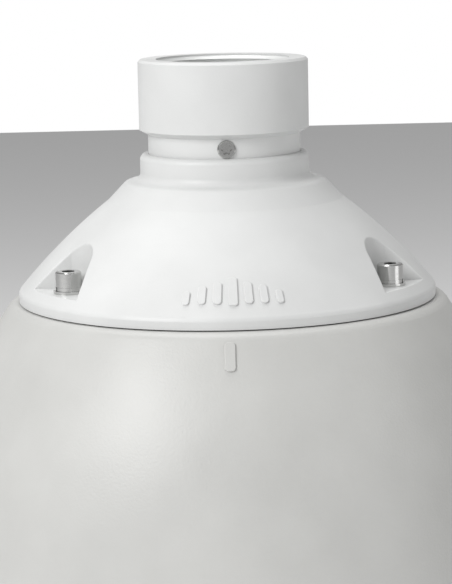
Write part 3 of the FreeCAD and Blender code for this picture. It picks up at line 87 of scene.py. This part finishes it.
# Tint and roughness of each clear finish
GLASS = {"dome_clear": ((0.93, 0.94, 0.95), 0.03), "lens_glass": ((0.45, 0.5, 0.62), 0.02)}
# Size of the wear patches (1/m), how far wear moves the tone and the roughness, and how
# far it moves the roughness of glass
WEAR_SIZE = 35.0
WEAR_SHARE = 0.10
GLASS_WEAR_SHARE = 0.5
GRAIN_DETAIL = 2.0
WEAR_DETAIL = 4.0
# Pipe thread in the adapter's bore (m); a ridge is a little shorter than the pitch, the
# first one starts a little inside the mouth, and the crest is found within a share of it
THREAD_RADIUS = 0.02242
THREAD_PITCH = 0.002309
THREAD_DEPTH = 0.0011
THREAD_LENGTH = 0.0185
THREAD_SIDES = 72
RIDGE_SHARE = 0.9
FIRST_RIDGE = 0.7
CREST_SHARE = 0.1
MERGE_DISTANCE = 0.00001
# Level of the seam, which the lights and the camera face
SEAM = -0.080
TARGET = (0.0, 0.0, SEAM)
# Viewing camera: metres, degrees and millimetres of lens
CAMERA_DISTANCE = 0.782
CAMERA_PITCH = 9.3
CAMERA_ROLL = 1.2
CAMERA_TURN = -1.5
LENS = 141.8
SENSOR_WIDTH = 36.0
SHIFT_X = -0.0026
SHIFT_Y = 0.0029
# Area lights: place, size and power
LIGHTS = {
    "key_light": ((-0.9, -0.9, 0.75), (0.7, 0.7), 17.0),
    "fill_light": ((1.1, -0.7, 0.2), (0.8, 1.0), 3.0),
    "top_light": ((-0.1, 0.3, 1.1), (0.9, 0.9), 9.0),
}
FLOOR_SIZE = 6.0
FLOOR_ROUGHNESS = 0.9
ROOM_LIGHT = 0.35
ROOM_SEEN = 1.0


class CameraLooks(bpy.types.PropertyGroup):
    """Sizes and colours that the operators read."""
    thread_pitch: bpy.props.FloatProperty(
        name="Thread pitch", description="Distance from one thread ridge to the next",
        default=THREAD_PITCH, unit="LENGTH")
    floor_colour: bpy.props.FloatVectorProperty(
        name="Floor colour", description="Colour of the floor", size=3,
        default=(0.92, 0.92, 0.92), subtype="COLOR")
    floor_drop: bpy.props.FloatProperty(
        name="Floor drop", description="How far the floor lies below the dome",
        default=0.02, unit="LENGTH")


def wear_group():
    """A shader group that puts out grain, wear and a bumped normal."""
    group = bpy.data.node_groups.new("surface_wear", "ShaderNodeTree")
    for name, kind in (("Grain size", "NodeSocketFloat"), ("Height", "NodeSocketFloat")):
        group.interface.new_socket(name, in_out="INPUT", socket_type=kind)
    for name, kind in (("Grain", "NodeSocketFloat"), ("Wear", "NodeSocketFloat"),
                       ("Normal", "NodeSocketVector")):
        group.interface.new_socket(name, in_out="OUTPUT", socket_type=kind)
    nodes, links = group.nodes, group.links
    given = nodes.new("NodeGroupInput")
    result = nodes.new("NodeGroupOutput")
    place = nodes.new("ShaderNodeTexCoord")
    grain = nodes.new("ShaderNodeTexNoise")
    grain.inputs["Detail"].default_value = GRAIN_DETAIL
    wear = nodes.new("ShaderNodeTexNoise")
    wear.inputs["Scale"].default_value = WEAR_SIZE
    wear.inputs["Detail"].default_value = WEAR_DETAIL
    bump = nodes.new("ShaderNodeBump")
    bump.inputs["Strength"].default_value = 1.0
    links.new(place.outputs["Object"], grain.inputs["Vector"])
    links.new(place.outputs["Object"], wear.inputs["Vector"])
    links.new(given.outputs["Grain size"], grain.inputs["Scale"])
    links.new(given.outputs["Height"], bump.inputs["Distance"])
    links.new(grain.outputs["Fac"], bump.inputs["Height"])
    links.new(grain.outputs["Fac"], result.inputs["Grain"])
    links.new(wear.outputs["Fac"], result.inputs["Wear"])
    links.new(bump.outputs["Normal"], result.inputs["Normal"])
    return group


def finish_material(name, group):
    """An opaque finish whose colour and roughness vary with wear, and whose grain bumps the
    normal.
    """
    colour, roughness, metallic, grain_size, height = FINISHES[name]
    material = bpy.data.materials.new(name)
    material.use_nodes = True
    nodes, links = material.node_tree.nodes, material.node_tree.links
    shader = nodes["Principled BSDF"]
    surface = nodes.new("ShaderNodeGroup")
    surface.node_tree = group
    surface.inputs["Grain size"].default_value = grain_size
    surface.inputs["Height"].default_value = height
    shader.inputs["Metallic"].default_value = metallic
    tone = nodes.new("ShaderNodeMapRange")
    tone.inputs["To Min"].default_value = 1.0 - WEAR_SHARE
    tone.inputs["To Max"].default_value = 1.0 + WEAR_SHARE
    shade = nodes.new("ShaderNodeVectorMath")
    shade.operation = "SCALE"
    shade.inputs[0].default_value = colour
    rough = nodes.new("ShaderNodeMapRange")
    rough.inputs["To Min"].default_value = roughness * (1.0 - WEAR_SHARE)
    rough.inputs["To Max"].default_value = roughness * (1.0 + WEAR_SHARE)
    links.new(surface.outputs["Wear"], tone.inputs["Value"])
    links.new(tone.outputs["Result"], shade.inputs["Scale"])
    links.new(shade.outputs["Vector"], shader.inputs["Base Color"])
    links.new(surface.outputs["Wear"], rough.inputs["Value"])
    links.new(rough.outputs["Result"], shader.inputs["Roughness"])
    links.new(surface.outputs["Normal"], shader.inputs["Normal"])
    return material


def glass_material(name, group):
    """A clear finish for the dome and the lenses."""
    colour, roughness = GLASS[name]
    material = bpy.data.materials.new(name)
    material.use_nodes = True
    nodes, links = material.node_tree.nodes, material.node_tree.links
    shader = nodes["Principled BSDF"]
    shader.inputs["Base Color"].default_value = (*colour, 1.0)
    shader.inputs["Transmission Weight"].default_value = 1.0
    surface = nodes.new("ShaderNodeGroup")
    surface.node_tree = group
    surface.inputs["Grain size"].default_value = WEAR_SIZE
    rough = nodes.new("ShaderNodeMapRange")
    rough.inputs["To Min"].default_value = roughness * (1.0 - GLASS_WEAR_SHARE)
    rough.inputs["To Max"].default_value = roughness * (1.0 + GLASS_WEAR_SHARE)
    links.new(surface.outputs["Wear"], rough.inputs["Value"])
    links.new(rough.outputs["Result"], shader.inputs["Roughness"])
    return material


def set_material(piece, material):
    piece.data.materials.clear()
    piece.data.materials.append(material)


def material_named(name):
    found = bpy.data.materials.get(name)
    if found is None:
        raise RuntimeError(f"the finishes have to be made before {name} is used")
    return found


class OBJECT_OT_camera_finishes(bpy.types.Operator):
    """Give every frame node its procedural finish"""
    bl_idname = "object.camera_finishes"
    bl_label = "Finishes"

    def execute(self, context):
        group = wear_group()
        made = {name: finish_material(name, group) for name in FINISHES}
        made.update({name: glass_material(name, group) for name in GLASS})
        for name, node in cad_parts.items():
            set_material(node, made[KINDS.get(name, "steel")])
        return {"FINISHED"}


class OBJECT_OT_camera_thread(bpy.types.Operator):
    """Model the ridges of the female pipe thread in the adapter's bore"""
    bl_idname = "object.camera_thread"
    bl_label = "Pipe thread"

    def execute(self, context):
        looks = context.scene.camera_looks
        if looks.thread_pitch <= 0.0:
            raise RuntimeError("the thread needs a pitch above zero")
        ridges = thread_ridges(looks.thread_pitch)
        set_material(ridges, material_named("cap_coat"))
        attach(ridges, "mount_cap")
        return {"FINISHED"}


def thread_ridge(pitch, level):
    """One band of the bore, pulled in to a crest along its middle."""
    bpy.ops.mesh.primitive_cylinder_add(
        vertices=THREAD_SIDES, radius=THREAD_RADIUS, depth=pitch * RIDGE_SHARE,
        end_fill_type="NOTHING", location=(0.0, 0.0, level))
    ridge = bpy.context.object
    bpy.ops.object.transform_apply(location=True)
    bpy.ops.object.mode_set(mode="EDIT")
    bpy.ops.mesh.select_all(action="SELECT")
    bpy.ops.mesh.subdivide(number_cuts=1)
    bpy.ops.object.mode_set(mode="OBJECT")
    share = 1.0 - THREAD_DEPTH / THREAD_RADIUS
    for vertex in ridge.data.vertices:
        if abs(vertex.co.z - level) < pitch * CREST_SHARE:
            vertex.co.x *= share
            vertex.co.y *= share
    return ridge


def thread_ridges(pitch):
    """The ridges at every pitch down the bore, joined into one piece."""
    bpy.ops.object.select_all(action="DESELECT")
    count = int(THREAD_LENGTH / pitch)
    ridges = [thread_ridge(pitch, -pitch * (index + FIRST_RIDGE)) for index in range(count)]
    bpy.ops.object.select_all(action="DESELECT")
    for ridge in ridges:
        ridge.select_set(True)
    bpy.context.view_layer.objects.active = ridges[0]
    bpy.ops.object.join()
    thread = bpy.context.object
    bpy.ops.object.transform_apply(location=True, rotation=True, scale=True)
    bpy.ops.object.mode_set(mode="EDIT")
    bpy.ops.mesh.select_all(action="SELECT")
    bpy.ops.mesh.remove_doubles(threshold=MERGE_DISTANCE)
    bpy.ops.mesh.normals_make_consistent(inside=True)
    bpy.ops.object.mode_set(mode="OBJECT")
    thread.name = "thread_ridges"
    thread.data.name = "thread_ridges"
    return thread


def aim(thing, target):
    direction = Vector(target) - thing.location
    thing.rotation_euler = direction.to_track_quat("-Z", "Y").to_euler()


def softbox(name, place, size, power):
    """A rectangular area light that faces the seam."""
    light = bpy.data.lights.new(name, "AREA")
    light.shape = "RECTANGLE"
    light.size = size[0]
    light.size_y = size[1]
    light.energy = power
    lamp = bpy.data.objects.new(name, light)
    bpy.context.scene.collection.objects.link(lamp)
    lamp.location = place
    aim(lamp, TARGET)


def make_floor(looks):
    """A plain floor a little under the dome."""
    low = min(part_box(name)[0].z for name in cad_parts)
    bpy.ops.object.select_all(action="DESELECT")
    bpy.ops.mesh.primitive_plane_add(size=FLOOR_SIZE, location=(0.0, 0.0, low - looks.floor_drop))
    floor = bpy.context.object
    floor.name = "floor"
    bpy.ops.object.transform_apply(location=True)
    paint = bpy.data.materials.new("floor_paint")
    paint.use_nodes = True
    shader = paint.node_tree.nodes["Principled BSDF"]
    shader.inputs["Base Color"].default_value = (*looks.floor_colour, 1.0)
    shader.inputs["Roughness"].default_value = FLOOR_ROUGHNESS
    set_material(floor, paint)


def make_room(scene):
    """A white world that lights the object softly and looks fully white to the camera."""
    world = bpy.data.worlds.new("white_room")
    scene.world = world
    world.use_nodes = True
    nodes, links = world.node_tree.nodes, world.node_tree.links
    room = nodes["Background"]
    path = nodes.new("ShaderNodeLightPath")
    strength = nodes.new("ShaderNodeMapRange")
    strength.inputs["To Min"].default_value = ROOM_LIGHT
    strength.inputs["To Max"].default_value = ROOM_SEEN
    room.inputs["Color"].default_value = (1.0, 1.0, 1.0, 1.0)
    links.new(path.outputs["Is Camera Ray"], strength.inputs["Value"])
    links.new(strength.outputs["Result"], room.inputs["Strength"])


def make_viewer(scene):
    """The viewing camera, aimed at the seam and rolled a little."""
    pitch = math.radians(CAMERA_PITCH)
    turn = math.radians(CAMERA_TURN)
    lens = bpy.data.cameras.new("view_camera")
    lens.lens = LENS
    lens.sensor_width = SENSOR_WIDTH
    lens.shift_x = SHIFT_X
    lens.shift_y = SHIFT_Y
    viewer = bpy.data.objects.new("view_camera", lens)
    scene.collection.objects.link(viewer)
    flat = CAMERA_DISTANCE * math.cos(pitch)
    viewer.location = (flat * math.sin(turn), -flat * math.cos(turn),
                       SEAM + CAMERA_DISTANCE * math.sin(pitch))
    facing = (Vector(TARGET) - viewer.location).to_track_quat("-Z", "Y")
    roll = Quaternion((0.0, 0.0, 1.0), math.radians(-CAMERA_ROLL))
    viewer.rotation_mode = "QUATERNION"
    viewer.rotation_quaternion = facing @ roll
    scene.camera = viewer


class SCENE_OT_camera_stage(bpy.types.Operator):
    """Set up the floor, the lights, the world and the viewing camera"""
    bl_idname = "scene.camera_stage"
    bl_label = "Stage"

    def execute(self, context):
        scene = context.scene
        make_floor(scene.camera_looks)
        for name, (place, size, power) in LIGHTS.items():
            softbox(name, place, size, power)
        make_room(scene)
        scene.view_settings.view_transform = "Standard"
        make_viewer(scene)
        return {"FINISHED"}


class VIEW3D_PT_camera_looks(bpy.types.Panel):
    """Lists the operators in the order in which they are run"""
    bl_idname = "VIEW3D_PT_camera_looks"
    bl_label = "Hanging camera"
    bl_space_type = "VIEW_3D"
    bl_region_type = "UI"
    bl_category = "Camera"

    def draw(self, context):
        looks = context.scene.camera_looks
        self.layout.prop(looks, "thread_pitch")
        self.layout.prop(looks, "floor_colour")
        self.layout.prop(looks, "floor_drop")
        self.layout.operator("object.camera_finishes")
        self.layout.operator("object.camera_thread")
        self.layout.operator("scene.camera_stage")


CLASSES = (CameraLooks, OBJECT_OT_camera_finishes, OBJECT_OT_camera_thread,
           SCENE_OT_camera_stage, VIEW3D_PT_camera_looks)


def register():
    for entry in CLASSES:
        bpy.utils.register_class(entry)
    bpy.types.Scene.camera_looks = bpy.props.PointerProperty(type=CameraLooks)


def unregister():
    del bpy.types.Scene.camera_looks
    for entry in reversed(CLASSES):
        bpy.utils.unregister_class(entry)


def main():
    register()
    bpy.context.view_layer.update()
    bpy.ops.object.camera_finishes()
    bpy.ops.object.camera_thread()
    bpy.ops.scene.camera_stage()


if __name__ == "__main__":
    main()
